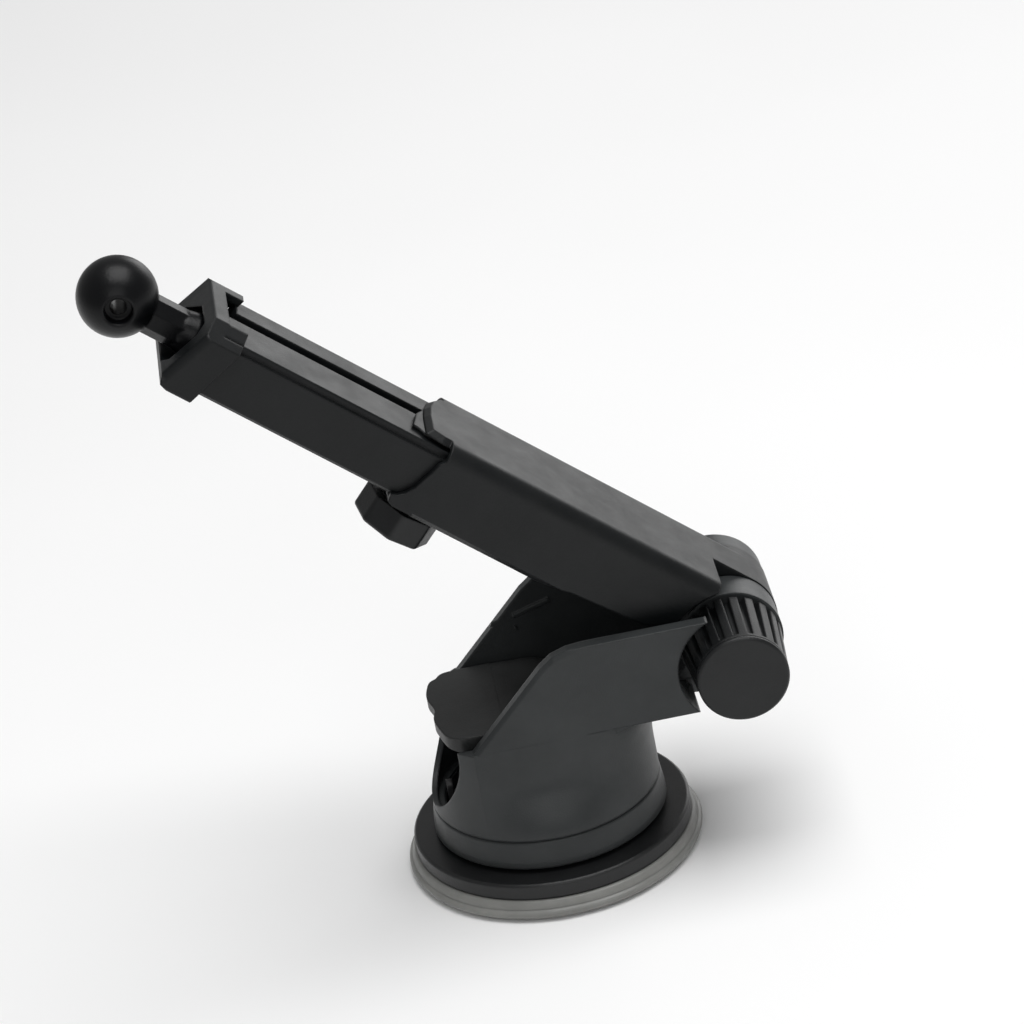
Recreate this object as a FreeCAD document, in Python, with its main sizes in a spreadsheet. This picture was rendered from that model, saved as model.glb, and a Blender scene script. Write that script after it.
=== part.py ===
import FreeCAD, Part
import Sketcher
import os
import math

# Dashboard phone mount: suction base, lever, clamping hinge, telescopic arm
# and 17 mm ball head.  Millimetres, +Z up.  The origin is the centre of the
# suction cup on the surface that it grips.  The arm hinge turns about +Y; the
# arm leans towards -X at rest and the clamping knob is on the -Y side.

App = FreeCAD
V = App.Vector
doc = App.newDocument("phone_mount")
os.makedirs("parts", exist_ok=True)

# ------------------------------------------------------------------ dimensions
DIMS = [
    # suction cup and base ring
    ("gel_rad", 32.5, "suction pad outer radius, a 65 mm cup"),
    ("gel_top", 4.3, "top of the soft pad at its rim"),
    ("pad_mid", 2.2, "thickness of the flexing middle of the pad"),
    ("disc_rad", 30.4, "black cup disc radius"),
    ("disc_top", 8.0, "top face of the cup disc"),
    ("neck_rad", 21.6, "raised neck of the cup disc"),
    ("collar_low", 8.7, "underside of the collar"),
    ("collar_rad", 25.6, "collar radius at its foot"),
    ("seam_z", 15.2, "joint between collar and housing"),
    ("col_rad", 24.9, "housing radius at the joint"),
    # stem and lever
    ("stem_rad", 5.0, "pulling stem radius"),
    ("stem_clear", 0.06, "running clearance of the stem"),
    ("stem_top", 25.0, "top of the stem when the cup is locked"),
    ("stem_disc", 11.3, "foot of the stem"),
    ("plate_low", 10.0, "underside of the guide plate"),
    ("plate_thk", 2.6, "guide plate thickness"),
    ("plate_rad", 21.7, "guide plate radius"),
    ("screw_pcr", 17.2, "screw circle radius of the guide plate"),
    ("lever_z", 28.0, "height of the lever pivot"),
    ("lever_pin", 2.0, "lever pivot pin radius"),
    ("cross_z", 23.0, "height of the stem cross pin when locked"),
    ("cross_pin", 1.25, "stem cross pin radius"),
    ("cam_rad", 10.05, "cam disc radius"),
    ("lever_turn", 60.0, "lever travel, degrees"),
    ("stem_drop", 2.5, "stem travel over the lever travel"),
    ("tab_top", 38.3, "top face of the finger tab"),
    # housing
    ("cheek_out", 20.0, "outer plane of the cheeks"),
    ("cheek_in", 17.0, "inner plane of the cheeks"),
    ("wing_low", 36.2, "underside of the hinge wing"),
    ("wing_top", 57.0, "top edge of the cheeks"),
    ("floor_top", 37.9, "top of the wing floor"),
    # hinge
    ("hinge_x", 44.0, "hinge axis position"),
    ("hinge_z", 45.0, "hinge axis height"),
    ("ear_rad", 11.4, "hinge ear radius"),
    ("barrel_rad", 11.6, "arm barrel radius"),
    ("bolt_rad", 2.95, "hinge bolt shank radius"),
    ("knob_rad", 9.8, "clamping knob radius at its face"),
    ("knob_back", 10.9, "clamping knob radius at the ear"),
    ("knob_face", 25.5, "distance of the knob face from the middle plane"),
    ("pocket_rad", 13.1, "knob pocket radius in the near cheek"),
    # arm
    ("arm_deg", 41.5, "arm angle above the horizontal"),
    ("sleeve_half", 14.06, "half width of the sleeve"),
    ("sleeve_low", 6.4, "bottom of the sleeve below the arm axis"),
    ("sleeve_len", 78.6, "mouth of the sleeve from the hinge axis"),
    ("arm_half", 12.5, "half width of the inner arm"),
    ("arm_low", 4.2, "bottom of the inner arm below the arm axis"),
    ("arm_top", 9.3, "top of the inner arm above the arm axis"),
    ("arm_rear", 60.0, "inner end of the inner arm"),
    ("arm_front", 131.0, "outer end of the inner arm"),
    ("cap_rear", 127.0, "rear rim of the end cap"),
    ("ball_at", 151.5, "ball centre from the hinge axis"),
    ("ball_up", 2.3, "ball centre above the arm axis"),
    ("ball_rad", 8.5, "17 mm ball"),
    ("neck_half", 4.0, "neck of the ball stud"),
    ("lock_at", 75.7, "lock knob position along the arm"),
    ("lock_rad", 9.0, "lock knob corner radius"),
]
sheet = doc.addObject("Spreadsheet::Sheet", "dims")
VAL = {}
for i, (alias, value, note) in enumerate(DIMS):
    sheet.set("A%d" % (i + 1), alias)
    sheet.set("B%d" % (i + 1), str(value))
    sheet.setAlias("B%d" % (i + 1), alias)
    sheet.set("C%d" % (i + 1), note)
doc.recompute()
for alias, value, note in DIMS:
    VAL[alias] = float(sheet.get(alias))


class Q:
    """A length that knows its value and its expression in the sheet."""

    def __init__(self, expr, value):
        self.expr = expr
        self.value = float(value)

    def _bin(self, other, sign, fn):
        o = other if isinstance(other, Q) else Q("%g" % other, other)
        return Q("(%s %s %s)" % (self.expr, sign, o.expr), fn(self.value, o.value))

    def __add__(self, o):
        return self._bin(o, "+", lambda a, b: a + b)

    def __sub__(self, o):
        return self._bin(o, "-", lambda a, b: a - b)

    def __mul__(self, o):
        return self._bin(o, "*", lambda a, b: a * b)

    def __neg__(self):
        return Q("(0 - %s)" % self.expr, -self.value)


def d(alias):
    return Q("dims.%s" % alias, VAL[alias])


def num(q):
    return q.value if isinstance(q, Q) else float(q)


def bind(obj, prop, q):
    if isinstance(q, Q):
        setattr(obj, prop, q.value)
        obj.setExpression(prop, q.expr)
    else:
        setattr(obj, prop, float(q))


# -------------------------------------------------------------- sketch helpers
def origin_plane(body, role):
    return [f for f in body.Origin.OriginFeatures if f.Role == role][0]


def sketch(body, role, name, offset=0.0):
    sk = body.newObject("Sketcher::SketchObject", name)
    sk.AttachmentSupport = [(origin_plane(body, role), "")]
    sk.MapMode = "FlatFace"
    if num(offset) != 0.0:
        sk.AttachmentOffset = App.Placement(V(0, 0, num(offset)), App.Rotation())
        if isinstance(offset, Q):
            sk.setExpression("AttachmentOffset.Base.z", offset.expr)
    return sk


def fix(sk, kind, geo, pos, q):
    c = sk.addConstraint(Sketcher.Constraint(kind, -1, 1, geo, pos, num(q)))
    if isinstance(q, Q):
        sk.setExpression("Constraints[%d]" % c, q.expr)


def loop(sk, pts):
    """Closed polygon; every corner is set out from the sheet."""
    n = len(pts)
    base = sk.GeometryCount
    vs = [V(num(x), num(y), 0) for x, y in pts]
    for i in range(n):
        sk.addGeometry(Part.LineSegment(vs[i], vs[(i + 1) % n]), False)
    for i in range(n):
        sk.addConstraint(Sketcher.Constraint("Coincident", base + i, 2, base + (i + 1) % n, 1))
    for i, (x, y) in enumerate(pts):
        fix(sk, "DistanceX", base + i, 1, x)
        fix(sk, "DistanceY", base + i, 1, y)


def ring(sk, x, y, r):
    g = sk.addGeometry(Part.Circle(V(num(x), num(y), 0), V(0, 0, 1), num(r)), False)
    fix(sk, "DistanceX", g, 3, x)
    fix(sk, "DistanceY", g, 3, y)
    c = sk.addConstraint(Sketcher.Constraint("Radius", g, num(r)))
    if isinstance(r, Q):
        sk.setExpression("Constraints[%d]" % c, r.expr)


def new_body(label):
    b = doc.addObject("PartDesign::Body", label)
    b.Label = label
    return b


def revolve(body, pts, name="turned"):
    """Solid of revolution about Z from a half profile (radius, height)."""
    sk = sketch(body, "XZ_Plane", name + "_profile")
    loop(sk, pts)
    f = body.newObject("PartDesign::Revolution", name)
    f.Profile = sk
    f.ReferenceAxis = (sk, ["V_Axis"])
    f.Angle = 360
    doc.recompute()
    return f


def pad(body, role, start, length, pts=None, rings=None, name="pad", back=False):
    sk = sketch(body, role, name + "_sketch", start)
    if pts:
        loop(sk, pts)
    for r in (rings or []):
        ring(sk, *r)
    f = body.newObject("PartDesign::Pad", name)
    f.Profile = sk
    f.Reversed = back
    bind(f, "Length", length)
    doc.recompute()
    return f


def pocket(body, role, start, length, pts=None, rings=None, name="pocket", back=False):
    """Pocket that must remove material; its direction is checked."""
    before = body.Shape.Volume
    sk = sketch(body, role, name + "_sketch", start)
    if pts:
        loop(sk, pts)
    for r in (rings or []):
        ring(sk, *r)
    f = body.newObject("PartDesign::Pocket", name)
    f.Profile = sk
    f.Reversed = back
    bind(f, "Length", length)
    doc.recompute()
    if not body.Shape.Volume < before - 1e-3:
        raise RuntimeError("%s.%s removes nothing" % (body.Label, name))
    return f


def groove(body, pts, name="groove"):
    before = body.Shape.Volume
    sk = sketch(body, "XZ_Plane", name + "_profile")
    loop(sk, pts)
    f = body.newObject("PartDesign::Groove", name)
    f.Profile = sk
    f.ReferenceAxis = (sk, ["V_Axis"])
    f.Angle = 360
    doc.recompute()
    if not body.Shape.Volume < before - 1e-3:
        raise RuntimeError("%s.%s removes nothing" % (body.Label, name))
    return f


def edges_where(shape, test):
    return ["Edge%d" % (i + 1) for i, e in enumerate(shape.Edges) if test(e)]


def fillet(body, test, radius, name="fillet"):
    """Round the picked edges of the body's last feature."""
    tip = body.Tip
    names = edges_where(tip.Shape, test)
    if not names:
        raise RuntimeError("%s.%s finds no edge" % (body.Label, name))
    f = body.newObject("PartDesign::Fillet", name)
    f.Base = (tip, names)
    f.Radius = radius
    doc.recompute()
    if "Invalid" in f.State or f.Shape.isNull() or not f.Shape.isValid():
        body.removeObject(f)
        doc.removeObject(f.Name)
        body.Tip = tip
        doc.recompute()
        print("no fillet", body.Label, name)
    return f


def chamfer(body, test, size, name="chamfer"):
    tip = body.Tip
    names = edges_where(tip.Shape, test)
    if not names:
        raise RuntimeError("%s.%s finds no edge" % (body.Label, name))
    f = body.newObject("PartDesign::Chamfer", name)
    f.Base = (tip, names)
    f.Size = size
    doc.recompute()
    if "Invalid" in f.State or f.Shape.isNull() or not f.Shape.isValid():
        body.removeObject(f)
        doc.removeObject(f.Name)
        body.Tip = tip
        doc.recompute()
        print("no chamfer", body.Label, name)
    return f


def circle_at(e, z=None, r=None, tol=0.05):
    """True for a full circular edge about Z at a height and radius."""
    c = e.Curve
    if c.__class__.__name__ != "Circle":
        return False
    if z is not None and abs(c.Center.z - z) > tol:
        return False
    return r is None or abs(c.Radius - r) < tol


def polar(count, r, phase=0.0):
    return [(r * math.cos(math.radians(phase + 360.0 * k / count)),
             r * math.sin(math.radians(phase + 360.0 * k / count))) for k in range(count)]


NODES = []


def keep(obj, label, place=None):
    obj.Label = label
    if place is not None:
        obj.Placement = place
    NODES.append((label, obj))
    return obj


def feature(label, shape, place=None):
    o = doc.addObject("Part::Feature", label)
    o.Shape = shape
    return keep(o, label, place if place is not None else App.Placement())


# The arm's own frame: x along the arm, z away from the arm's underside.
HINGE = V(VAL["hinge_x"], 0, VAL["hinge_z"])
ARM = App.Placement(HINGE, App.Rotation(V(0, 1, 0), VAL["arm_deg"]).multiply(App.Rotation(V(0, 0, 1), 180)))
# The hinge's own frame: z along world -Y, so the knob's face is at +z.
HINGE_Y = App.Placement(HINGE, App.Rotation(V(1, 0, 0), 90))

# ================================================================ suction base
# Soft grip pad: a thick sealing rim round a thinner flexing middle.
b = new_body("suction_gel_pad")
revolve(b, [(0, 0), (d("gel_rad") - 1.6, 0), (d("gel_rad") - 0.8, 0.35), (d("gel_rad") - 0.25, 0.95),
            (d("gel_rad"), 1.6), (d("gel_rad") - 0.1, 2.1), (d("gel_rad") - 0.6, 2.45), (d("gel_rad") - 1.5, d("gel_top")),
            (12.4, d("gel_top")), (12.4, d("pad_mid")), (0, d("pad_mid"))])
keep(b, "suction_gel_pad")

# Black cup disc with the neck that the collar presses on.
b = new_body("suction_cup_disc")
revolve(b, [(12.6, d("gel_top")), (d("disc_rad") - 0.2, d("gel_top")), (d("disc_rad"), d("gel_top") + 0.3),
            (d("disc_rad"), d("disc_top") - 0.45), (d("disc_rad") - 0.45, d("disc_top")),
            (d("neck_rad"), d("disc_top")), (d("neck_rad"), d("collar_low") - 0.05), (14.0, d("collar_low") - 0.05),
            (14.0, d("disc_top") + 0.1), (12.6, d("disc_top") + 0.1)])
keep(b, "suction_cup_disc")

# Collar between the cup and the housing.
b = new_body("suction_collar")
revolve(b, [(22.0, d("collar_low")), (d("collar_rad") - 0.5, d("collar_low")), (d("collar_rad"), d("collar_low") + 0.5),
            (d("collar_rad") - 0.05, d("collar_low") + 1.8), (d("col_rad") + 0.25, d("seam_z") - 1.6),
            (d("col_rad"), d("seam_z") - 0.35), (d("col_rad") - 0.35, d("seam_z")), (22.0, d("seam_z"))])
keep(b, "suction_collar")

# Guide plate that carries the stem; four countersunk screws hold it up.
b = new_body("stem_guide_plate")
pad(b, "XY_Plane", d("plate_low"), d("plate_thk"), rings=[(0, 0, d("plate_rad")), (0, 0, d("stem_rad") + d("stem_clear"))], name="disc")
spots = polar(4, VAL["screw_pcr"], 45)
pocket(b, "XY_Plane", d("plate_low"), 20, rings=[(x, y, 1.3) for x, y in spots], name="screw_holes", back=True)
pocket(b, "XY_Plane", d("plate_low"), 1.6, rings=[(x, y, 2.5) for x, y in spots], name="counterbores", back=True)
# snap hook that stands behind the mouth
pad(b, "XY_Plane", d("plate_low") + 1.0, 9.4, pts=[(-21.4, -1.35), (-20.0, -1.35), (-20.0, 1.35), (-21.4, 1.35)], name="hook")
fillet(b, lambda e: e.BoundBox.ZMin > 20.0 and e.BoundBox.YMax - e.BoundBox.YMin < 0.1, 1.2, "hook_round")
keep(b, "stem_guide_plate")

screws = []
for x, y in spots:
    head = Part.makeCylinder(2.3, 1.3, V(x, y, VAL["plate_low"] + 0.2))
    shank = Part.makeCylinder(1.1, 9.0, V(x, y, VAL["plate_low"] + 1.4))
    slot = Part.makeBox(3.4, 0.7, 0.7, V(x - 1.7, y - 0.35, VAL["plate_low"] + 0.1))
    slot2 = Part.makeBox(0.7, 3.4, 0.7, V(x - 0.35, y - 1.7, VAL["plate_low"] + 0.1))
    screws.append(head.fuse(shank).cut(slot).cut(slot2).removeSplitter())
feature("guide_plate_screws", Part.makeCompound(screws))

# ================================================================== stem group
b = new_body("suction_stem")
revolve(b, [(0, 5.2), (d("stem_disc") - 0.6, 5.2), (d("stem_disc"), 5.8), (d("stem_disc"), 6.4),
            (d("stem_rad") + 1.5, 6.8), (d("stem_rad"), 8.0), (d("stem_rad"), d("stem_top") - 0.6),
            (d("stem_rad") - 0.6, d("stem_top")), (0, d("stem_top"))])
pocket(b, "XZ_Plane", -12, 24, rings=[(0, d("cross_z"), d("cross_pin"))], name="pin_hole", back=True)
keep(b, "suction_stem")
o = doc.addObject("Part::Cylinder", "stem_cross_pin")
bind(o, "Radius", d("cross_pin"))
o.Height = 18.6
keep(o, "stem_cross_pin", App.Placement(V(0, 9.3, VAL["cross_z"]), App.Rotation(V(1, 0, 0), 90)))

# Release spring: two and a half coils round the stem between foot and plate.
# Wound a quarter turn at a time, so every face stays short.
def coil_spring(pitch, turns, mean_r, wire_r, per=4):
    parts = []
    for k in range(int(turns * per)):
        path = Part.makeHelix(pitch, pitch / per, mean_r)
        section_ = Part.Wire([Part.Circle(V(mean_r, 0, 0), V(0, 1, pitch / (2 * math.pi * mean_r)), wire_r).toShape()])
        q = Part.Wire(path.Edges).makePipeShell([section_], True, True).copy()
        q.rotate(V(0, 0, 0), V(0, 0, 1), 360.0 * k / per)
        q.translate(V(0, 0, pitch * k / per))
        parts.append(q)
    out = parts[0].multiFuse(parts[1:])
    return out.Solids[0]


feature("stem_spring", coil_spring(0.9, 2.25, 8.6, 0.4, 8), App.Placement(V(0, 0, 7.4), App.Rotation()))

# ============================================================== lever and pin
o = doc.addObject("Part::Cylinder", "lever_pivot_pin")
bind(o, "Radius", d("lever_pin"))
o.Height = 36.8
keep(o, "lever_pivot_pin", App.Placement(V(0, 18.4, VAL["lever_z"]), App.Rotation(V(1, 0, 0), 90)))

lz, cz = VAL["lever_z"], VAL["cross_z"]


def prism_y(pts, y0, y1):
    """Prism from an (x, z) outline between two Y planes."""
    f = Part.Face(Part.makePolygon([V(x, y0, z) for x, z in pts + pts[:1]]))
    return f.extrude(V(0, y1 - y0, 0))


def prism_z(pts, z0, z1):
    f = Part.Face(Part.makePolygon([V(x, y, z0) for x, y in pts + pts[:1]]))
    return f.extrude(V(0, 0, z1 - z0))


def prism_x(pts, x0, x1):
    f = Part.Face(Part.makePolygon([V(x0, y, z) for y, z in pts + pts[:1]]))
    return f.extrude(V(x1 - x0, 0, 0))


def cyl_y(x, z, r, y0, y1):
    return Part.makeCylinder(r, y1 - y0, V(x, y0, z), V(0, 1, 0))


def smooth(vs, closed=True):
    s = Part.BSplineCurve()
    s.interpolate(vs, PeriodicFlag=closed)
    return s


# Finger tab: its leading edge has two shallow finger waves.
tt = VAL["tab_top"]
lead = [(-12.0, -15.2), (-14.0, -15.15), (-15.8, -14.95), (-17.6, -14.4), (-19.2, -13.0), (-20.2, -10.6), (-20.9, -7.6), (-21.35, -5.0),
        (-21.2, -3.0), (-20.85, -1.2), (-20.95, 0.6), (-21.4, 2.4), (-21.9, 4.6), (-21.85, 7.6), (-21.3, 10.4),
        (-20.4, 12.3), (-19.2, 13.2), (-18.6, 14.1), (-17.7, 14.85), (-16.2, 15.2), (-14.0, 15.35), (-12.0, 15.4)]
curve = Part.BSplineCurve()
curve.interpolate([V(x, y, tt - 4.0) for x, y in lead])
close1 = Part.makePolygon([V(-12.0, 15.4, tt - 4.0), V(-7.0, 15.4, tt - 4.0), V(-7.0, -15.2, tt - 4.0), V(-12.0, -15.2, tt - 4.0)])
tab = Part.Face(Part.Wire([curve.toShape()] + close1.Edges)).extrude(V(0, 0, 4.0))
# underside of the tab slopes back to a thin tip
tab = tab.cut(prism_y([(-24.0, tt - 5.0), (-24.0, tt - 2.2), (-20.2, tt - 2.6), (-14.5, tt - 4.2), (-14.5, tt - 5.0)], -16, 16))
# bent neck that carries the tab down to the cams
neck = prism_y([(-13.5, tt), (-13.5, tt - 4.0), (-11.6, tt - 6.5), (-9.9, lz - 1.0), (-6.0, lz - 2.0), (0, lz), (0.6, lz + VAL["cam_rad"]), (-7.0, tt - 0.04)], -15.2, 15.2)
barrel_ = cyl_y(0, lz, VAL["cam_rad"], -15.2, 15.2)
lever = tab.fuse([neck, barrel_])
# the stem stands between the cams: the lever is relieved round it
relief = Part.makeBox(20.0, 11.6, 30.0, V(-6.6, -5.8, lz - 24.6))
lever = lever.cut(relief)
# ring pocket for the torsion spring in the far end
lever = lever.cut(cyl_y(0, lz, 5.75, 9.8, 15.6).cut(cyl_y(0, lz, 4.15, 9.0, 16.0)))
# bore for the pivot pin
lever = lever.cut(cyl_y(0, lz, VAL["lever_pin"] + 0.05, -17, 17))
# cam tracks: the path of the cross pin as the lever lifts
steps = 24
track = None
for k in range(-2, steps + 3):
    a = math.radians(VAL["lever_turn"] * k / steps)
    pz = cz - VAL["stem_drop"] * k / steps - lz
    # turned back by the lever angle into the lever's own frame
    x = -pz * math.sin(a)
    z = pz * math.cos(a)
    c = cyl_y(x, lz + z, VAL["cross_pin"] + 0.3, -9.7, 9.7)
    track = c if track is None else track.fuse(c)
lever = lever.cut(track)
lever = lever.removeSplitter()
feature("suction_lever", lever)

# Torsion spring beside the near cam, round the pivot tube.
feature("lever_torsion_spring", coil_spring(1.05, 4, 4.85, 0.4), App.Placement(V(0, 14.5, lz), App.Rotation(V(1, 0, 0), 90)))

# ================================================================ base housing
R0 = VAL["col_rad"]
yo, yi = VAL["cheek_out"], VAL["cheek_in"]
wl, wt, ft = VAL["wing_low"], VAL["wing_top"], VAL["floor_top"]
hx, hz = VAL["hinge_x"], VAL["hinge_z"]
sz = VAL["seam_z"]


def blend(z):
    t = min(1.0, max(0.0, (z - sz) / (28.0 - sz)))
    return t * t * (3 - 2 * t)


def section(z):
    """Plan outline of the column: round at the foot, flat sided above."""
    w = blend(z)
    xf = -14.6
    yf = (1 - w) * math.sqrt(R0 ** 2 - xf ** 2) + w * yo
    xr = 9.3
    yr = (1 - w) * math.sqrt(R0 ** 2 - xr ** 2) + w * (yo - 0.02)
    xm = -2.6
    ym = (1 - w) * math.sqrt(R0 ** 2 - xm ** 2) + w * (yo + 0.04)
    flare = max(0.0, (z - 20.0) / (wl - 20.0))
    xb = R0 - 0.2 * w + 7.4 * flare ** 3.6
    xfm = -R0 + 0.25 * w
    front = Part.Arc(V(xf, yf, z), V(xfm, 0, z), V(xf, -yf, z)).toShape()
    near = Part.Arc(V(xf, -yf, z), V(xm, -ym, z), V(xr, -yr, z)).toShape()
    rear = Part.Arc(V(xr, -yr, z), V(xb, 0, z), V(xr, yr, z)).toShape()
    far = Part.Arc(V(xr, yr, z), V(xm, ym, z), V(xf, yf, z)).toShape()
    return Part.Wire([front, near, rear, far])


levels = [sz + 0.35, 17.5, 20.0, 22.5, 25.0, 28.0, 31.0, 33.8, wl]
column = Part.makeLoft([section(z) for z in levels], True, False)
# small step at the joint with the collar
foot = Part.makeCylinder(R0 - 0.35, 0.6, V(0, 0, sz))
column = column.fuse(foot)

slope = [(-14.6, 36.2), (2.4, 53.5), (5.2, 55.6), (8.6, 56.7), (12.0, wt)]
near_out = [(-14.6, 30.0)] + slope + [(hx - 3.0, wt), (hx - 3.0, wl), (5.0, wl), (5.0, 30.0)]
near_cheek = prism_y(near_out, -yo, -yi)


def rim_edges(shape, y):
    """Edges of a cheek's sloping and top rim in its outer plane."""
    return [e for e in shape.Edges if abs(e.BoundBox.YMin - y) < 1e-6 and abs(e.BoundBox.YMax - y) < 1e-6
            and e.BoundBox.ZMax > 40 and e.BoundBox.XMin < 30 and e.BoundBox.ZMin > 30.5]


near_cheek = near_cheek.makeChamfer(0.75, [e for e in rim_edges(near_cheek, -yo) if e.BoundBox.ZMin < wt - 0.5])
far_out = [(-14.6, 30.0)] + slope + [(hx, hz + VAL["ear_rad"] + 0.2), (hx, hz - VAL["ear_rad"] + 0.1), (34.0, wl), (5.0, wl), (5.0, 30.0)]
far_cheek = prism_y(far_out, yi, yo)
far_cheek = far_cheek.makeChamfer(0.6, rim_edges(far_cheek, yo))
# moulded boss and rib inside the far cheek
far_cheek = far_cheek.fuse([cyl_y(-1.8, 44.0, 2.2, yi - 0.6, yi + 0.5),
                            prism_y([(-5.5, 46.0), (-5.0, 47.0), (8.0, 50.6), (8.4, 49.6)], yi - 0.6, yi + 0.5)])
far_ear = cyl_y(hx, hz, VAL["ear_rad"], 15.1, yo)
floor = Part.makeBox(hx - 6.0 - 16.0, 2 * yo - 0.4, ft - wl + 2.0, V(16.0, -yo + 0.2, wl - 2.0))
# trim the floor's part below the wing to the column's outline
low_trim = Part.makeBox(60, 60, 10, V(0, -30, wl - 10)).cut(Part.makeLoft([section(wl - 2.5), section(wl)], True, False))
floor = floor.cut(low_trim)
near_ear = cyl_y(hx, hz, VAL["ear_rad"], -7.8, 0.2)
web = prism_y([(22.0, wl - 1.0), (22.0, ft), (30.3, ft), (33.6, 41.2), (hx, 41.2), (hx, hz - VAL["ear_rad"])], -7.8, 0.2)
pocket_wall = prism_y([(24.0, wl), (24.0, ft), (29.0, 43.0), (33.0, 47.5), (hx, 47.5), (hx, wl)], -yi - 0.5, -14.6)

body = column.fuse([near_cheek, far_cheek, far_ear, floor, near_ear, web, pocket_wall])
# hollow of the column, open upwards between the cheeks
cavity = Part.makeCylinder(22.2, 2.6, V(0, 0, sz - 0.2))
up = Part.makeCylinder(22.2, wl - sz + 8.0, V(0, 0, sz)).common(Part.makeBox(44.4, 2 * yi, 60, V(-22.2, -yi, sz)))
up = up.cut(Part.makeBox(20, 60, 20, V(18.0, -30, wl - 3.6)))
cavity = cavity.fuse(up)
front_open = Part.makeBox(22.0, 2 * yi, 30.0, V(-22.2, -yi, wl - 1.0))
cavity = cavity.fuse(front_open)
# the wall is thinner round the mouth
thin = Part.makeCylinder(23.6, wl - sz, V(0, 0, sz + 0.6)).common(Part.makeBox(14.0, 2 * yi, 60, V(-26.0, -yi, sz)))
cavity = cavity.fuse(thin)
body = body.cut(cavity)
# U-shaped mouth in the front for the lever
mouth = [(0, 16.6), (5.0, 17.5), (9.5, 19.8), (12.8, 23.0), (15.2, 27.0), (16.6, 31.0), (17.0, 34.0), (17.0, 62.0)]
outline = [(-y, z) for y, z in reversed(mouth)] + mouth[1:]
mcurve = Part.BSplineCurve()
mcurve.interpolate([V(-30, y, z) for y, z in outline[1:-1]])
top = Part.makePolygon([V(-30, outline[-2][0], outline[-2][1]), V(-30, 17.0, 62.0), V(-30, -17.0, 62.0), V(-30, outline[1][0], outline[1][1])])
mouth_cut = Part.Face(Part.Wire([mcurve.toShape()] + top.Edges)).extrude(V(20, 0, 0))
body = body.cut(mouth_cut)
# knob pocket, barrel clearance, bolt holes
body = body.cut(cyl_y(hx, hz, VAL["pocket_rad"], -yo - 3, -8.0))
body = body.cut(cyl_y(hx, hz, VAL["barrel_rad"] + 0.45, 0.2, 15.1))
body = body.cut(cyl_y(hx, hz, VAL["bolt_rad"] + 0.05, -9, 17.4))
hexa = Part.makePolygon([V(hx + 5.1 * math.cos(math.radians(60 * k + 30)), 17.4, hz + 5.1 * math.sin(math.radians(60 * k + 30))) for k in range(7)])
body = body.cut(Part.Face(hexa).extrude(V(0, 2.0, 0)))
body = body.cut(cyl_y(hx, hz, 7.6, 19.2, 21.0))
# screw posts under the hollow
for x, y in spots:
    post = Part.makeCylinder(3.2, 12.0, V(x, y, VAL["plate_low"] + VAL["plate_thk"] + 0.02))
    rib = prism_z([(x * 0.95 - y * 0.09, y * 0.95 + x * 0.09), (x * 1.33 - y * 0.09, y * 1.33 + x * 0.09),
                   (x * 1.33 + y * 0.09, y * 1.33 - x * 0.09), (x * 0.95 + y * 0.09, y * 0.95 - x * 0.09)],
                  sz + 0.6, VAL["plate_low"] + VAL["plate_thk"] + 12.0)
    rib = rib.common(Part.makeCylinder(23.0, 40, V(0, 0, 0)))
    body = body.fuse([post, rib])
for x, y in spots:
    body = body.cut(Part.makeCylinder(1.15, 10.8, V(x, y, 10.0)))
# the cams swing past the posts
body = body.cut(Part.makeCylinder(10.6, 31.4, V(0, -15.7, lz), V(0, 1, 0)))
# blind holes for the lever pin
body = body.cut(cyl_y(0, lz, VAL["lever_pin"], -18.5, 18.5))
body = body.removeSplitter()
feature("base_housing", body)

# ================================================================ hinge bolt
o = doc.addObject("Part::Prism", "bolt_head")
o.Polygon = 6
o.Circumradius = 5.0
o.Height = 1.7
o.Placement = App.Placement(V(0, 0, -19.1), App.Rotation(V(0, 0, 1), 30))
sh = doc.addObject("Part::Cylinder", "bolt_shank")
bind(sh, "Radius", d("bolt_rad"))
sh.Height = 40.2
sh.Placement = App.Placement(V(0, 0, -18.0), App.Rotation())
f = doc.addObject("Part::Fuse", "hinge_bolt")
f.Base = o
f.Tool = sh
keep(f, "hinge_bolt", HINGE_Y)
# snap-in cap over the bolt head on the far cheek
b = new_body("hinge_bolt_cap")
revolve(b, [(0, -19.95), (7.0, -19.95), (7.5, -19.6), (7.5, -19.25), (0, -19.25)])
keep(b, "hinge_bolt_cap", HINGE_Y)

# ================================================================ hinge knob
# Local z runs towards the knob's face.
b = new_body("hinge_knob")
kf = d("knob_face")
revolve(b, [(3.05, 8.25), (d("knob_back") - 0.4, 8.25), (d("knob_back"), 8.65), (d("knob_rad"), kf - 1.25),
            (3.05, kf - 1.25)])
# grip grooves, open towards the ear and stopped short of the face
n_groove = 20
w0 = 0.5
pocket(b, "XY_Plane", 8.2, kf - 8.2 - 2.1, pts=[(d("knob_rad") - 0.65, -w0 * 0.8), (d("knob_rad") + 2.2, -w0 * 2.2), (d("knob_rad") + 2.2, w0 * 2.2), (d("knob_rad") - 0.65, w0 * 0.8)], name="groove", back=True)
pp = body_tip = b.Tip
vol1 = b.Shape.Volume
pat = b.newObject("PartDesign::PolarPattern", "grooves")
pat.Originals = [pp]
pat.Axis = ([f for f in b.Origin.OriginFeatures if f.Role == "Z_Axis"][0], [""])
pat.Angle = 360
pat.Occurrences = n_groove
b.Tip = pat
doc.recompute()
if not b.Shape.Volume < vol1 - 10:
    raise RuntimeError("knob grooves are missing")
# hexagonal seat for the nut insert
hexpts = [(5.35 * math.cos(math.radians(60 * k)), 5.35 * math.sin(math.radians(60 * k))) for k in range(6)]
pocket(b, "XY_Plane", 8.2, 6.2, pts=hexpts, name="nut_seat", back=True)
keep(b, "hinge_knob", HINGE_Y)

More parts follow.
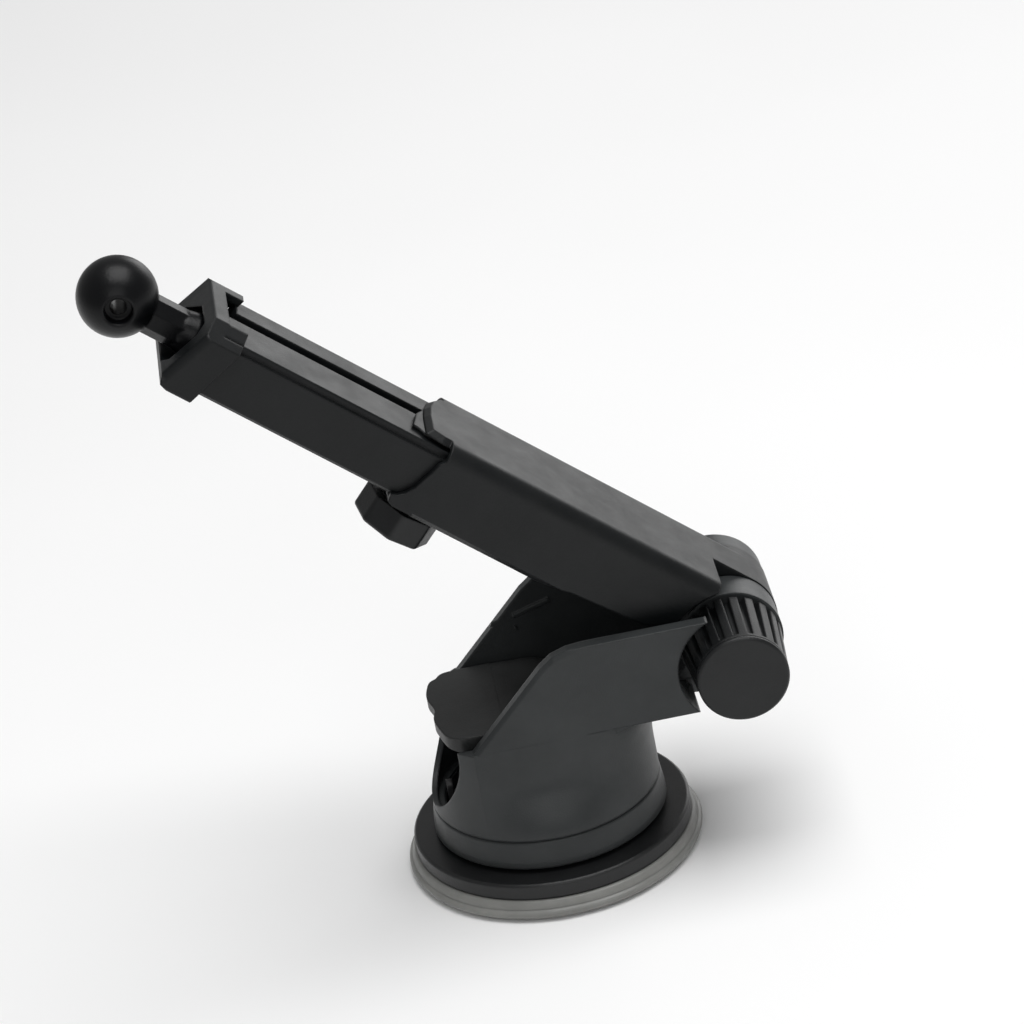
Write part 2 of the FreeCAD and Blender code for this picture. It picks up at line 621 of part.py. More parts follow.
b = new_body("hinge_knob_cap")
revolve(b, [(0, kf - 1.2), (d("knob_rad") - 0.15, kf - 1.2), (d("knob_rad"), kf - 1.05), (d("knob_rad"), kf - 0.45), (d("knob_rad") - 0.45, kf), (0, kf)])
keep(b, "hinge_knob_cap", HINGE_Y)

b = new_body("hinge_knob_nut")
pad(b, "XY_Plane", 8.6, 5.6, pts=[(5.25 * math.cos(math.radians(60 * k)), 5.25 * math.sin(math.radians(60 * k))) for k in range(6)], name="hexagon")
pocket(b, "XY_Plane", 8.0, 12, rings=[(0, 0, d("bolt_rad") + 0.05)], name="thread", back=True)
keep(b, "hinge_knob_nut", HINGE_Y)

# ================================================================== arm sleeve
# Arm frame: +y is the side of the knob.
b = new_body("arm_sleeve")
sh_, sl_, st_ = d("sleeve_half"), d("sleeve_low"), d("barrel_rad")
prof = [(-(sh_), -(sl_) + 1.3), (-(sh_) + 1.3, -(sl_)), (sh_ - 1.3, -(sl_)), (sh_, -(sl_) + 1.3),
        (sh_, st_), (-(sh_), st_)]
pad(b, "YZ_Plane", 0, d("sleeve_len") - 1.0, pts=prof, name="box")
fillet(b, lambda e: e.BoundBox.XMax - e.BoundBox.XMin > 50 and e.BoundBox.ZMin > VAL["barrel_rad"] - 0.05, 3.4, "top_edges")
# the top wall reaches out over the inner arm as a tongue
tg = pad(b, "XY_Plane", st_ - 1.4, 1.4, pts=[(d("sleeve_len") - 5, -11.2), (d("sleeve_len") + 0.3, -10.9), (d("sleeve_len") + 2.7, -7.4), (d("sleeve_len") + 4.0, -3.0),
                                            (d("sleeve_len") + 4.5, 1.5), (d("sleeve_len") + 4.7, 9.8), (d("sleeve_len") + 1.0, 11.0), (d("sleeve_len") - 5, 11.2)], name="tongue")
tg.TaperAngle = -40
doc.recompute()
# the underside rises towards the hinge
pocket(b, "XZ_Plane", -20, 40, pts=[(46, -(sl_) - 2.0), (46, -(sl_)), (38.5, -4.7), (21.0, -3.7), (10.5, 1.2), (0, 1.2), (0, -(sl_) - 2.0)], name="heel", back=True)
# room for the near ear and the knob, struck from the hinge axis
pocket(b, "XZ_Plane", -16, 16.5, rings=[(0, 0, 14.9)], name="ear_room", back=True)
pocket(b, "XZ_Plane", -16, 16.5, pts=[(-2.0, 4.0), (10.8, 4.0), (10.8, 14.0), (-2.0, 14.0)], name="top_end", back=True)
pad(b, "XZ_Plane", 0.5, 14.3, rings=[(0, 0, st_)], name="barrel")
pad(b, "YZ_Plane", 0, 16.0, pts=[(-14.0, -3.2), (-14.0, st_ - 3.4), (-13.78, st_ - 2.1), (-13.04, st_ - 1.0), (-11.94, st_ - 0.26), (-10.66, st_), (-0.5, st_), (-0.5, -3.2)], name="web")
# the side walls sweep forward into a lower lip
pad(b, "XZ_Plane", -(sh_), sh_ * 2, pts=[(d("sleeve_len") - 1, -(sl_) + 0.6), (d("sleeve_len") + 3.6, -(sl_) + 0.6), (d("sleeve_len") + 4.8, -(sl_) + 1.1), (d("sleeve_len") + 5.2, -3.6), (d("sleeve_len") + 3.9, -3.1),
                                        (d("sleeve_len") + 2.8, -2.1), (d("sleeve_len") + 1.6, -0.1), (d("sleeve_len") + 0.9, 2.6), (d("sleeve_len") + 0.3, 4.6), (d("sleeve_len") - 0.15, 6.9), (d("sleeve_len") - 1, 8.1)], name="lip")
# hollow for the inner arm
pocket(b, "YZ_Plane", 17.5, 80, pts=[(-(d("arm_half")) - 0.25, -(d("arm_low")) - 0.3), (d("arm_half") + 0.25, -(d("arm_low")) - 0.3), (d("arm_half") + 0.25, st_ - 2.3), (d("arm_half") - 0.6, st_ - 1.4), (-(d("arm_half")) + 0.6, st_ - 1.4), (-(d("arm_half")) - 0.25, st_ - 2.3)], name="hollow", back=True)
# boss for the lock screw with its nut seat
pad(b, "XY_Plane", -8.2, 2.4, rings=[(d("lock_at"), 0, 6.2)], name="boss")
pocket(b, "XY_Plane", -9.0, 5.0, rings=[(d("lock_at"), 0, 2.1)], name="stud_hole", back=True)
pocket(b, "XY_Plane", -7.7, 1.9, pts=[(VAL["lock_at"] + 4.15 * math.cos(math.radians(60 * k + 30)), 4.15 * math.sin(math.radians(60 * k + 30))) for k in range(6)], name="nut_seat", back=True)
pocket(b, "XY_Plane", -5.9, 2.0, rings=[(d("lock_at"), 0, 4.3)], name="shoe_seat", back=True)
# bush seat through the barrel and washer seats in its faces
pocket(b, "XZ_Plane", 0, 16, rings=[(0, 0, 4.25)], name="bush_seat", back=True)
pocket(b, "XZ_Plane", 0.4, 0.85, rings=[(0, 0, 8.5)], name="washer_near", back=True)
pocket(b, "XZ_Plane", 13.95, 1.2, rings=[(0, 0, 8.5)], name="washer_far", back=True)
keep(b, "arm_sleeve", ARM)

b = new_body("hinge_bush")
pad(b, "XZ_Plane", 1.3, 12.6, rings=[(0, 0, 4.2), (0, 0, d("bolt_rad") + 0.05)], name="tube")
keep(b, "hinge_bush", ARM)

# two friction washers, one in each face of the barrel
wa = Part.makeCylinder(8.3, 0.75, V(0, -1.25, 0), V(0, 1, 0)).cut(Part.makeCylinder(VAL["bolt_rad"] + 0.15, 3, V(0, -2, 0), V(0, 1, 0)))
wb = Part.makeCylinder(8.3, 0.95, V(0, -15.0, 0), V(0, 1, 0)).cut(Part.makeCylinder(VAL["bolt_rad"] + 0.15, 3, V(0, -16, 0), V(0, 1, 0)))
feature("hinge_washers", Part.makeCompound([wa, wb]), ARM)

# captive nut of the lock screw
b = new_body("sleeve_nut")
pad(b, "XY_Plane", -7.65, 1.7, pts=[(VAL["lock_at"] + 4.0 * math.cos(math.radians(60 * k + 30)), 4.0 * math.sin(math.radians(60 * k + 30))) for k in range(6)], name="hexagon")
pocket(b, "XY_Plane", -8.5, 4, rings=[(d("lock_at"), 0, 2.05)], name="thread", back=True)
keep(b, "sleeve_nut", ARM)

# glide strips glued to the side walls of the hollow
strips = [Part.makeBox(30.0, 0.16, 6.0, V(40.0, s * 12.66 - 0.08, -1.5)) for s in (-1, 1)]
feature("glide_strips", Part.makeCompound(strips), ARM)

# stop clip under the tongue; its tooth runs in the groove of the inner arm
b = new_body("slide_stop_clip")
pad(b, "XY_Plane", 9.45, 0.7, pts=[(73.0, -4.6), (81.4, -4.6), (83.1, -1.9), (84.6, 1.0), (85.9, 7.6), (84.5, 8.1), (83.4, 9.2), (73.0, 9.2)], name="leaf")
pad(b, "XY_Plane", 7.1, 2.5, pts=[(78.2, -4.45), (81.2, -4.45), (82.4, -1.1), (78.2, -1.1)], name="tooth")
keep(b, "slide_stop_clip", ARM)

# ================================================================== lock knob
b = new_body("telescope_lock_knob")
oct_ = [(VAL["lock_at"] + VAL["lock_rad"] * math.cos(math.radians(81 + 45 * k)), VAL["lock_rad"] * math.sin(math.radians(81 + 45 * k))) for k in range(8)]
pad(b, "XY_Plane", -15.0, 6.5, pts=oct_, name="grip")
fillet(b, lambda e: abs(e.BoundBox.ZMax - e.BoundBox.ZMin) > 5.0 and e.BoundBox.DiagonalLength < 7.0, 1.6, "corners")
fillet(b, lambda e: e.BoundBox.ZMax < -14.9, 0.9, "rim")
pocket(b, "XY_Plane", -12.6, 6, rings=[(d("lock_at"), 0, 2.02)], name="stud_seat", back=True)
keep(b, "telescope_lock_knob", ARM)

o = doc.addObject("Part::Cylinder", "lock_stud")
o.Radius = 2.0
o.Height = 6.55
keep(o, "lock_stud", ARM.multiply(App.Placement(V(VAL["lock_at"], 0, -12.5), App.Rotation())))

o = doc.addObject("Part::Cylinder", "brake_shoe")
o.Radius = 4.1
o.Height = 1.25
keep(o, "brake_shoe", ARM.multiply(App.Placement(V(VAL["lock_at"], 0, -5.5), App.Rotation())))

# ================================================================== inner arm
b = new_body("inner_arm")
ah, al, at = d("arm_half"), d("arm_low"), d("arm_top")
sec = [(-(ah), -(al) + 0.8), (-(ah) + 0.8, -(al)), (ah - 0.8, -(al)), (ah, -(al) + 0.8), (ah, at - 1.5), (ah - 1.0, at - 1.5), (ah - 1.0, at - 0.3), (ah - 1.3, at),
       (-(ah) + 1.3, at), (-(ah) + 1.0, at - 0.3), (-(ah) + 1.0, at - 1.5), (-(ah), at - 1.5)]
pad(b, "YZ_Plane", d("arm_rear"), d("arm_front") - d("arm_rear"), pts=sec, name="beam")
# groove for the stop clip, closed at its rear end
pocket(b, "YZ_Plane", d("arm_rear") + 6.0, 80, pts=[(-4.8, at - 2.6), (-0.75, at - 2.6), (-0.75, at + 1), (-4.8, at + 1)], name="groove", back=True)
# lightening core, open at the rear
pocket(b, "YZ_Plane", 50, d("arm_front") - 54.0, pts=[(-10.4, -2.2), (10.4, -2.2), (10.4, 5.0), (-10.4, 5.0)], name="core", back=True)
# screw holes for the end cap
pocket(b, "XZ_Plane", -14, 28, rings=[(129.6, 2.4, 0.8)], name="cap_pin_hole", back=True)
# the far rail stops short of the end cap
pocket(b, "XY_Plane", at - 2.6, 4.0, pts=[(127.1, -13.0), (131.2, -13.0), (131.2, -4.8), (127.1, -4.8)], name="rail_end", back=True)
keep(b, "inner_arm", ARM)

# plug that closes the rear of the inner arm
b = new_body("inner_arm_plug")
pad(b, "YZ_Plane", d("arm_rear"), 6.0, pts=[(-10.3, -2.1), (10.3, -2.1), (10.3, 4.9), (-10.3, 4.9)], name="plug")
pad(b, "YZ_Plane", d("arm_rear") - 1.2, 1.2, pts=[(-11.4, -3.2), (11.4, -3.2), (11.4, 6.2), (-11.4, 6.2)], name="flange")
keep(b, "inner_arm_plug", ARM)

# ==================================================================== end cap
b = new_body("arm_end_cap")
cr = d("cap_rear")
pad(b, "XZ_Plane", -14.0, 28.0, pts=[(cr + 3.4, -6.1), (135.6, -6.1), (137.7, -5.3), (138.35, -3.4), (134.0, 11.0), (cr - 0.9, 11.0)], name="block")
# sloping shoulders along the top corners
pocket(b, "YZ_Plane", 120.0, 20.0, pts=[(8.0, 11.0), (14.6, 7.8), (14.6, 11.6), (8.0, 11.6)], name="near_shoulder", back=True)
pocket(b, "YZ_Plane", 120.0, 20.0, pts=[(-11.4, 11.0), (-14.6, 9.9), (-14.6, 11.6), (-11.4, 11.6)], name="far_shoulder", back=True)
fillet(b, lambda e: e.BoundBox.ZMax < -6.0 and abs(e.BoundBox.YMax - e.BoundBox.YMin) < 0.1 and e.BoundBox.XMax - e.BoundBox.XMin > 2.5, 0.8, "low_edges")
fillet(b, lambda e: abs(e.BoundBox.YMax - e.BoundBox.YMin) < 0.1 and abs(e.BoundBox.ZMax - e.BoundBox.ZMin) > 8.0 and e.BoundBox.XMax > 133.0, 1.7, "front_corners")
fillet(b, lambda e: e.BoundBox.YMax - e.BoundBox.YMin > 10.0 and e.BoundBox.XMin > 133.0 and e.BoundBox.ZMin > 10.5, 0.8, "front_rim")
# socket for the inner arm
pocket(b, "YZ_Plane", 125.0, d("arm_front") - 124.95, pts=[(-(ah) - 0.05, -(al) - 0.05), (ah + 0.05, -(al) - 0.05), (ah + 0.05, at - 1.45), (ah - 0.95, at - 1.45), (ah - 0.95, at + 0.05), (-(ah) + 0.95, at + 0.05), (-(ah) + 0.95, at - 1.45), (-(ah) - 0.05, at - 1.45)], name="socket", back=True)
# the top plate is open behind its middle, between the two hooks
pocket(b, "XY_Plane", at - 0.2, 4.0, pts=[(125.0, -8.6), (130.5, -8.6), (130.5, 8.1), (125.0, 8.1)], name="top_opening", back=True)
# squarish recess round the neck of the ball stud
pocket(b, "YZ_Plane", 133.2, 8.0, pts=[(-7.9, -0.9), (-5.6, -3.4), (6.6, -3.4), (9.2, -1.2), (9.2, 6.0), (6.8, 8.2), (-2.2, 8.2), (-7.9, 4.4)], name="neck_recess", back=True)
pocket(b, "YZ_Plane", 125.0, 20.0, rings=[(0, d("ball_up"), 1.4)], name="screw_hole", back=True)
pocket(b, "YZ_Plane", 126.0, 6.25, rings=[(0, d("ball_up"), 2.6)], name="head_seat", back=True)
pocket(b, "XZ_Plane", -13.1, 26.2, rings=[(129.6, 2.4, 0.8)], name="dowel_holes", back=True)
keep(b, "arm_end_cap", ARM)

pins = [Part.makeCylinder(0.78, 2.4, V(129.6, 10.6, 2.4), V(0, 1, 0)), Part.makeCylinder(0.78, 2.4, V(129.6, -13.0, 2.4), V(0, 1, 0))]
feature("cap_dowels", Part.makeCompound(pins), ARM)

# ================================================================== ball stud
# Built along its own z; the ball's cross hole runs along y.
b = new_body("ball_stud")
BZ = 18.3   # ball centre above the foot of the stud
neck8 = [(VAL["neck_half"] * math.cos(math.radians(22.5 + 45 * k)) / math.cos(math.radians(22.5)),
          VAL["neck_half"] * math.sin(math.radians(22.5 + 45 * k)) / math.cos(math.radians(22.5))) for k in range(8)]
pad(b, "XY_Plane", 0, BZ - 4.0, pts=neck8, name="neck")
arc_pts = [(0, -VAL["ball_rad"])] + [(VAL["ball_rad"] * math.cos(math.radians(a)), VAL["ball_rad"] * math.sin(math.radians(a))) for a in range(-80, 81, 10)] + [(0, VAL["ball_rad"])]
sk = sketch(b, "XZ_Plane", "ball_profile")
g1 = sk.addGeometry(Part.ArcOfCircle(Part.Circle(V(0, BZ, 0), V(0, 0, 1), VAL["ball_rad"]), -math.pi / 2, math.pi / 2), False)
g2 = sk.addGeometry(Part.LineSegment(V(0, BZ + VAL["ball_rad"], 0), V(0, BZ - VAL["ball_rad"], 0)), False)
sk.addConstraint(Sketcher.Constraint("Coincident", g1, 2, g2, 1))
sk.addConstraint(Sketcher.Constraint("Coincident", g2, 2, g1, 1))
sk.addConstraint(Sketcher.Constraint("PointOnObject", g1, 3, -2))
sk.addConstraint(Sketcher.Constraint("PointOnObject", g1, 1, -2))
sk.addConstraint(Sketcher.Constraint("PointOnObject", g1, 2, -2))
fix(sk, "DistanceY", g1, 3, BZ)
c = sk.addConstraint(Sketcher.Constraint("Radius", g1, VAL["ball_rad"]))
sk.setExpression("Constraints[%d]" % c, "dims.ball_rad")
f = b.newObject("PartDesign::Revolution", "ball")
f.Profile = sk
f.ReferenceAxis = (sk, ["V_Axis"])
f.Angle = 360
doc.recompute()
pocket(b, "XZ_Plane", -12, 24, rings=[(0, BZ, 1.7)], name="cross_hole", back=True)
pocket(b, "XZ_Plane", -12, 6.6, rings=[(0, BZ, 2.9)], name="cross_seat_far", back=True)
pocket(b, "XZ_Plane", 5.4, 6.6, rings=[(0, BZ, 2.9)], name="cross_seat_near", back=True)
# the neck widens where it meets the end cap
revolve(b, [(0, 0), (5.0, 0), (4.9, 1.2), (4.3, 3.6), (3.9, 4.6), (0, 4.6)])
fillet(b, lambda e: abs(e.BoundBox.YMax - e.BoundBox.YMin) < 3.0 and 5.4 < e.BoundBox.XMax - e.BoundBox.XMin < 6.2 and abs(e.BoundBox.ZMax + e.BoundBox.ZMin - 2 * BZ) < 0.2, 0.45, "seat_rims")
pocket(b, "XY_Plane", 0, 9.0, rings=[(0, 0, 1.3)], name="screw_bore", back=True)
STUD = ARM.multiply(App.Placement(V(VAL["ball_at"] - BZ, 0, VAL["ball_up"]), App.Rotation(V(0, 1, 0), 90)))
keep(b, "ball_stud", STUD)

# screw that holds the stud, driven from inside the end cap
b = new_body("ball_stud_screw")
revolve(b, [(0, -2.1), (2.4, -2.1), (2.4, -1.0), (1.25, -1.0), (1.25, 8.0), (0, 8.0)])
keep(b, "ball_stud_screw", STUD)

# ================================================================= export
doc.recompute()
bad = [o.Name for o in doc.Objects if "Invalid" in o.State or "Error" in o.State]
if bad:
    raise RuntimeError("failed objects: %s" % bad)
labels = set()
for label, obj in NODES:
    sh = obj.Shape
    if sh.isNull() or not sh.isValid() or sh.Volume <= 0:
        raise RuntimeError("bad shape: %s" % label)
    if label in labels or len(label) >= 60:
        raise RuntimeError("bad label: %s" % label)
    labels.add(label)
box = App.BoundBox()
for label, obj in NODES:
    sh = obj.Shape
    box.add(sh.BoundBox)
    sh.exportStep("parts/%s.step" % label)
    print("%-24s solids %d  vol %9.1f  x %7.2f..%7.2f y %7.2f..%7.2f z %7.2f..%7.2f" % (
        label, len(sh.Solids), sh.Volume, sh.BoundBox.XMin, sh.BoundBox.XMax, sh.BoundBox.YMin, sh.BoundBox.YMax, sh.BoundBox.ZMin, sh.BoundBox.ZMax))
print("nodes", len(NODES), "box", box)
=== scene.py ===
import math

import bmesh
import bpy
from mathutils import Matrix, Vector


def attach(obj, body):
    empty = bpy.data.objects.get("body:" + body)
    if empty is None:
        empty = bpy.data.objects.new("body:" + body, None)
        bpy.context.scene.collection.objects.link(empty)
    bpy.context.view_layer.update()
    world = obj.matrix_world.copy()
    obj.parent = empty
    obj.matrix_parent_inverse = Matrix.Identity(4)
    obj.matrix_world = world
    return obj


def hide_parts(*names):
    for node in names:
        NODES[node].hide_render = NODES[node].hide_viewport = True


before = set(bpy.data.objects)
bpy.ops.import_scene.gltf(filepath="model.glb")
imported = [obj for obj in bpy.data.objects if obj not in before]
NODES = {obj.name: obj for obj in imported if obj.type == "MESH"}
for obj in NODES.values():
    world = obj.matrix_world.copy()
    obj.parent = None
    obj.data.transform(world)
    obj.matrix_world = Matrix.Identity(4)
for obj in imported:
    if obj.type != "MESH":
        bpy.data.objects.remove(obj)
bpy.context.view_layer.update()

scene = bpy.context.scene
MM = 0.001


# ------------------------------------------------------------------ camera
def make_camera():
    f, az, el, ro = 4459.94, math.radians(-1.84), math.radians(26.98), math.radians(10.36)
    tx, ty, dist = 556.94, 840.33, 0.97651
    back = Vector((math.sin(az) * math.cos(el), -math.cos(az) * math.cos(el), math.sin(el)))
    right = Vector((math.cos(az), math.sin(az), 0.0))
    up = back.cross(right)
    r = math.cos(ro) * right - math.sin(ro) * up
    u = math.sin(ro) * right + math.cos(ro) * up
    ox = (tx - 512) * dist / f
    oy = -(ty - 512) * dist / f
    place = back * dist - r * ox - u * oy
    cam = bpy.data.cameras.new("camera")
    cam.sensor_fit = "HORIZONTAL"
    cam.sensor_width = 36.0
    cam.lens = f / 1024 * 36.0
    cam.clip_start = 0.05
    cam.clip_end = 20.0
    o = bpy.data.objects.new("camera", cam)
    m = Matrix((
        (r.x, u.x, back.x, place.x),
        (r.y, u.y, back.y, place.y),
        (r.z, u.z, back.z, place.z),
        (0, 0, 0, 1),
    ))
    o.matrix_world = m
    scene.collection.objects.link(o)
    scene.camera = o


make_camera()


# --------------------------------------------------------------- materials
EDGE = 0.0006   # moulded edges are softly rounded
def nodes_of(mat):
    mat.use_nodes = True
    nt = mat.node_tree
    nt.nodes.clear()
    out = nt.nodes.new("ShaderNodeOutputMaterial")
    bsdf = nt.nodes.new("ShaderNodeBsdfPrincipled")
    nt.links.new(bsdf.outputs["BSDF"], out.inputs["Surface"])
    return nt, bsdf


def ramp(nt, fac, stops, mode="LINEAR"):
    n = nt.nodes.new("ShaderNodeValToRGB")
    n.color_ramp.interpolation = mode
    while len(n.color_ramp.elements) < len(stops):
        n.color_ramp.elements.new(0.5)
    for e, (p, c) in zip(n.color_ramp.elements, stops):
        e.position = p
        e.color = (c[0], c[1], c[2], 1.0) if not isinstance(c, float) else (c, c, c, 1.0)
    nt.links.new(fac, n.inputs["Fac"])
    return n.outputs["Color"]


def noise(nt, scale, detail=3.0, rough=0.55, stretch=None, seed=0.0):
    tc = nt.nodes.new("ShaderNodeTexCoord")
    mp = nt.nodes.new("ShaderNodeMapping")
    mp.inputs["Location"].default_value = (seed, seed * 1.7, seed * 0.3)
    if stretch:
        mp.inputs["Scale"].default_value = stretch
    nt.links.new(tc.outputs["Object"], mp.inputs["Vector"])
    n = nt.nodes.new("ShaderNodeTexNoise")
    n.inputs["Scale"].default_value = scale
    n.inputs["Detail"].default_value = detail
    n.inputs["Roughness"].default_value = rough
    nt.links.new(mp.outputs["Vector"], n.inputs["Vector"])
    return n.outputs["Fac"]


def bump(nt, bsdf, layers):
    """Fine surface texture: a stack of (height, distance in metres, strength)."""
    edge = nt.nodes.new("ShaderNodeBevel")
    edge.samples = 6
    edge.inputs["Radius"].default_value = EDGE
    last = edge.outputs["Normal"]
    for h, dist, strength in layers:
        b = nt.nodes.new("ShaderNodeBump")
        b.inputs["Distance"].default_value = dist
        b.inputs["Strength"].default_value = strength
        nt.links.new(h, b.inputs["Height"])
        if last:
            nt.links.new(last, b.inputs["Normal"])
        last = b.outputs["Normal"]
    nt.links.new(last, bsdf.inputs["Normal"])


def moulded(name, dark, light, r0, r1, grain=2600.0, depth=0.00005, spec=0.5, coat=0.0, seed=0.0):
    """Moulded plastic: spark-eroded grain, faint flow clouding, uneven gloss."""
    mat = bpy.data.materials.new(name)
    nt, b = nodes_of(mat)
    cloud = noise(nt, 55.0, 4.0, 0.6, seed=seed)
    nt.links.new(ramp(nt, cloud, [(0.30, dark), (0.72, light)]), b.inputs["Base Color"])
    wipe = noise(nt, 130.0, 5.0, 0.65, seed=seed + 3)
    nt.links.new(ramp(nt, wipe, [(0.30, r0), (0.74, r1)]), b.inputs["Roughness"])
    g1 = noise(nt, grain, 3.0, 0.6, seed=seed + 5)
    g2 = noise(nt, 160.0, 2.0, 0.5, seed=seed + 9)
    bump(nt, b, [(g2, 0.00008, 0.10), (g1, depth, 0.7)])
    b.inputs["Specular IOR Level"].default_value = spec
    b.inputs["IOR"].default_value = 1.5
    if coat:
        b.inputs["Coat Weight"].default_value = coat
        b.inputs["Coat Roughness"].default_value = 0.25
    return mat


def metal(name, dark, light, r0, r1, stretch=(1, 1, 14), seed=0.0):
    mat = bpy.data.materials.new(name)
    nt, b = nodes_of(mat)
    cloud = noise(nt, 320.0, 3.0, 0.5, stretch=stretch, seed=seed)
    nt.links.new(ramp(nt, cloud, [(0.3, dark), (0.7, light)]), b.inputs["Base Color"])
    nt.links.new(ramp(nt, noise(nt, 700.0, 3.0, 0.5, stretch=stretch, seed=seed + 2), [(0.3, r0), (0.7, r1)]), b.inputs["Roughness"])
    bump(nt, b, [(noise(nt, 1500.0, 2.0, 0.5, stretch=stretch, seed=seed + 4), 0.00001, 0.3)])
    b.inputs["Metallic"].default_value = 1.0
    return mat


def gel(name):
    mat = bpy.data.materials.new(name)
    nt, b = nodes_of(mat)
    cloud = noise(nt, 70.0, 4.0, 0.6, seed=11)
    nt.links.new(ramp(nt, cloud, [(0.28, (0.17, 0.171, 0.162)), (0.75, (0.255, 0.256, 0.243))]), b.inputs["Base Color"])
    nt.links.new(ramp(nt, noise(nt, 190.0, 4.0, 0.6, seed=14), [(0.3, 0.30), (0.75, 0.46)]), b.inputs["Roughness"])
    bump(nt, b, [(noise(nt, 240.0, 3.0, 0.5, seed=17), 0.00012, 0.14), (noise(nt, 1900.0, 2.0, 0.5, seed=18), 0.00002, 0.25)])
    b.inputs["Subsurface Weight"].default_value = 0.25
    b.inputs["Subsurface Radius"].default_value = (1.0, 1.0, 0.95)
    b.inputs["Subsurface Scale"].default_value = 0.0015
    b.inputs["Specular IOR Level"].default_value = 0.45
    return mat


MATS = {
    "soft_gel": gel("soft_gel_look"),
    "cup_black": moulded("cup_black_look", (0.006, 0.0065, 0.007), (0.011, 0.0115, 0.012), 0.28, 0.40, spec=0.42, seed=1),
    "housing_black": moulded("housing_black_look", (0.0215, 0.0238, 0.0245), (0.0320, 0.0350, 0.0358), 0.33, 0.45, spec=0.32, seed=2),
    "arm_black": moulded("arm_black_look", (0.0024, 0.0032, 0.0036), (0.0046, 0.0056, 0.0062), 0.36, 0.48, spec=0.30, seed=3),
    "lever_black": moulded("lever_black_look", (0.009, 0.0098, 0.0098), (0.015, 0.0160, 0.0160), 0.38, 0.52, spec=0.40, seed=4),
    "knob_black": moulded("knob_black_look", (0.0050, 0.0056, 0.0060), (0.0090, 0.0099, 0.0105), 0.33, 0.45, spec=0.34, seed=5),
    "ball_black": moulded("ball_black_look", (0.0016, 0.0018, 0.0023), (0.0032, 0.0035, 0.0042), 0.28, 0.38, grain=1900.0, spec=0.20, seed=6),
    "inner_plastic": moulded("inner_plastic_look", (0.016, 0.016, 0.017), (0.030, 0.030, 0.031), 0.30, 0.44, seed=7),
    "steel": metal("steel_look", (0.42, 0.42, 0.43), (0.60, 0.60, 0.61), 0.22, 0.38, seed=8),
    "brass": metal("brass_look", (0.52, 0.36, 0.14), (0.68, 0.49, 0.22), 0.25, 0.40, seed=9),
}

for name, o in NODES.items():
    for s in o.material_slots:
        key = s.material.name.split(".")[0] if s.material else "arm_black"
        if key not in MATS:
            print("no look for", name, key)
            key = "arm_black"
        s.material = MATS[key]


# ------------------------------------------------------- the soft gel ring
def lathe(name, profile, seg, wobble):
    """A closed turned piece; the rim wanders a little, as soft gel does."""
    verts, faces, rings = [], [], []
    for k, (r, z) in enumerate(profile):
        if r < 1e-6:
            rings.append([len(verts)])
            verts.append((0.0, 0.0, z * MM))
            continue
        ring = []
        for i in range(seg):
            a = 2 * math.pi * i / seg
            w = wobble * max(0.0, (r - 26.0) / 6.5)
            dr = w * (0.5 * math.sin(5 * a + 0.6) + 0.3 * math.sin(11 * a + 2.1) + 0.2 * math.sin(23 * a + z)) - w
            ring.append(len(verts))
            verts.append(((r + dr) * math.cos(a) * MM, (r + dr) * math.sin(a) * MM, z * MM))
        rings.append(ring)
    for p, q in zip(rings[:-1], rings[1:]):
        for i in range(seg):
            j = (i + 1) % seg
            if len(p) == 1:
                faces.append((p[0], q[j], q[i]))
            elif len(q) == 1:
                faces.append((p[i], p[j], q[0]))
            else:
                faces.append((p[i], p[j], q[j], q[i]))
    me = bpy.data.meshes.new(name)
    me.from_pydata(verts, [], faces)
    me.validate()
    bm = bmesh.new()
    bm.from_mesh(me)
    bmesh.ops.recalc_face_normals(bm, faces=bm.faces)
    bm.to_mesh(me)
    bm.free()
    me.polygons.foreach_set("use_smooth", [True] * len(me.polygons))
    me.set_sharp_from_angle(angle=math.radians(38))
    o = bpy.data.objects.new(name, me)
    scene.collection.objects.link(o)
    return o


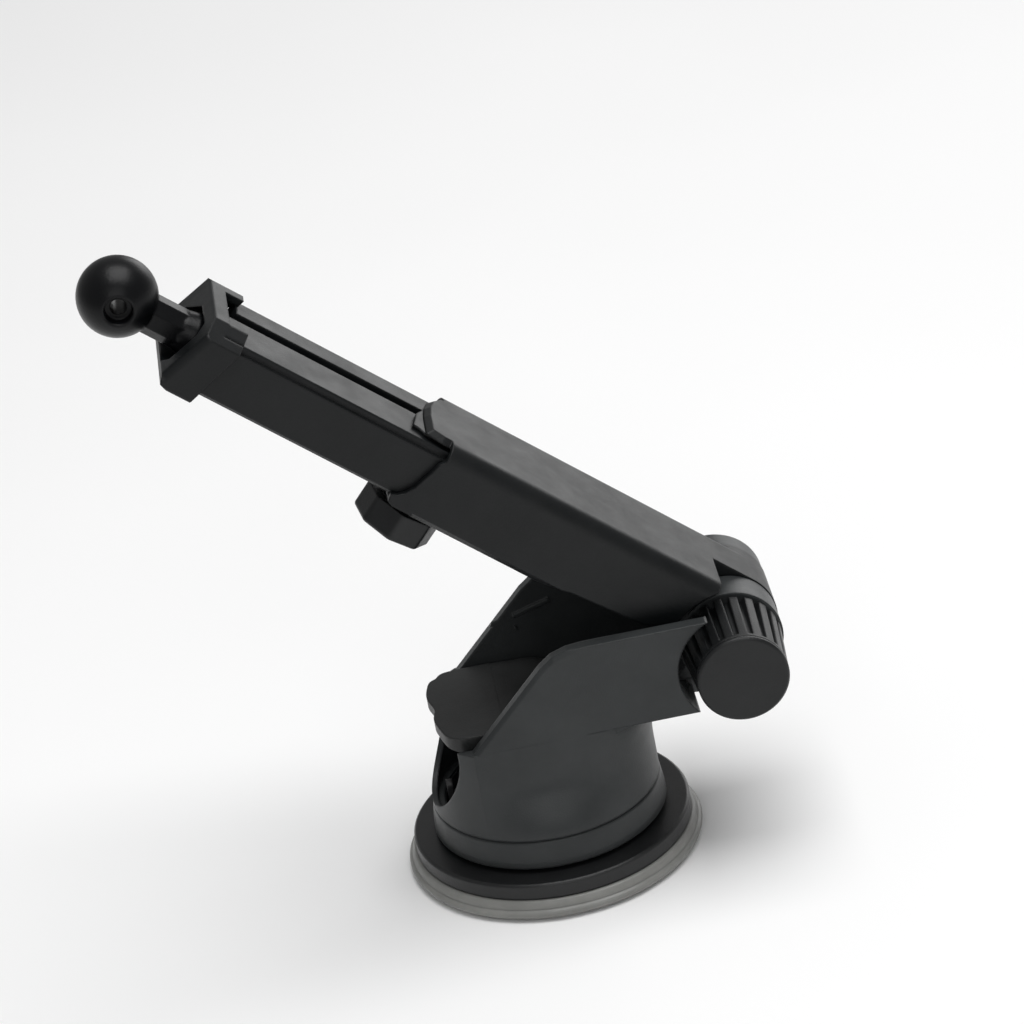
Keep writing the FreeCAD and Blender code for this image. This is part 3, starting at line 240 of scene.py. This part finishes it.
GEL = [(0, 0.30), (6, 0.30), (12, 0.28), (20, 0.24), (26, 0.16), (28.2, 0.05), (29.2, 0.0), (30.3, 0.0), (30.9, 0.03), (31.35, 0.14),
       (31.75, 0.36), (32.08, 0.68), (32.32, 1.06), (32.46, 1.46), (32.44, 1.84), (32.28, 2.12), (32.02, 2.32), (31.76, 2.42),
       (31.62, 2.50), (31.60, 2.62), (31.66, 2.74), (31.62, 2.92), (31.46, 3.28), (31.26, 3.68), (31.06, 4.02), (30.86, 4.20), (30.5, 4.28),
       (28, 4.29), (20, 4.29), (12.6, 4.29), (12.42, 4.2), (12.42, 2.3), (12.3, 2.19), (8, 2.19), (0, 2.19)]
gel_ring = lathe("gel_pad_look", GEL, 288, 0.07)
gel_ring.data.materials.append(MATS["soft_gel"])
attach(gel_ring, "base")
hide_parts("suction_gel_pad")


# ------------------------------------------------------------ studio
def plane(name, size_x, size_y, place, rot=(0, 0, 0)):
    me = bpy.data.meshes.new(name)
    x, y = size_x / 2, size_y / 2
    me.from_pydata([(-x, -y, 0), (x, -y, 0), (x, y, 0), (-x, y, 0)], [], [(0, 1, 2, 3)])
    o = bpy.data.objects.new(name, me)
    o.location = place
    o.rotation_euler = rot
    scene.collection.objects.link(o)
    return o


def area(name, size_x, size_y, place, aim, watts, colour=(1, 1, 1)):
    li = bpy.data.lights.new(name, "AREA")
    li.shape = "RECTANGLE"
    li.size, li.size_y = size_x, size_y
    li.energy = watts
    li.color = colour
    o = bpy.data.objects.new(name, li)
    o.location = place
    d = Vector(aim) - Vector(place)
    o.rotation_euler = d.to_track_quat("-Z", "Y").to_euler()
    scene.collection.objects.link(o)
    return o


floor = plane("floor", 6.0, 6.0, (0, 0, -0.0002))
fm = bpy.data.materials.new("floor_paper")
nt, b = nodes_of(fm)
nt.links.new(ramp(nt, noise(nt, 6.0, 2.0, 0.5), [(0.3, (0.90, 0.90, 0.90)), (0.7, (0.92, 0.92, 0.92))]), b.inputs["Base Color"])
b.inputs["Roughness"].default_value = 0.9
b.inputs["Specular IOR Level"].default_value = 0.1
floor.data.materials.append(fm)

area("top_softbox", 0.9, 0.9, (0.20, 0.0, 1.2), (0, 0, 0.05), 12.0)
area("back_panel", 0.95, 0.7, (0.76, 1.32, 0.43), (0, 0, 0.10), 4.2)
area("front_fill", 1.3, 0.9, (-0.05, -1.5, 1.0), (0, 0, 0.08), 5)

world = bpy.data.worlds.new("studio")
scene.world = world
world.use_nodes = True
bg = world.node_tree.nodes["Background"]
bg.inputs["Color"].default_value = (1, 1, 1, 1)
bg.inputs["Strength"].default_value = 0.30
scene.view_settings.view_transform = "Standard"
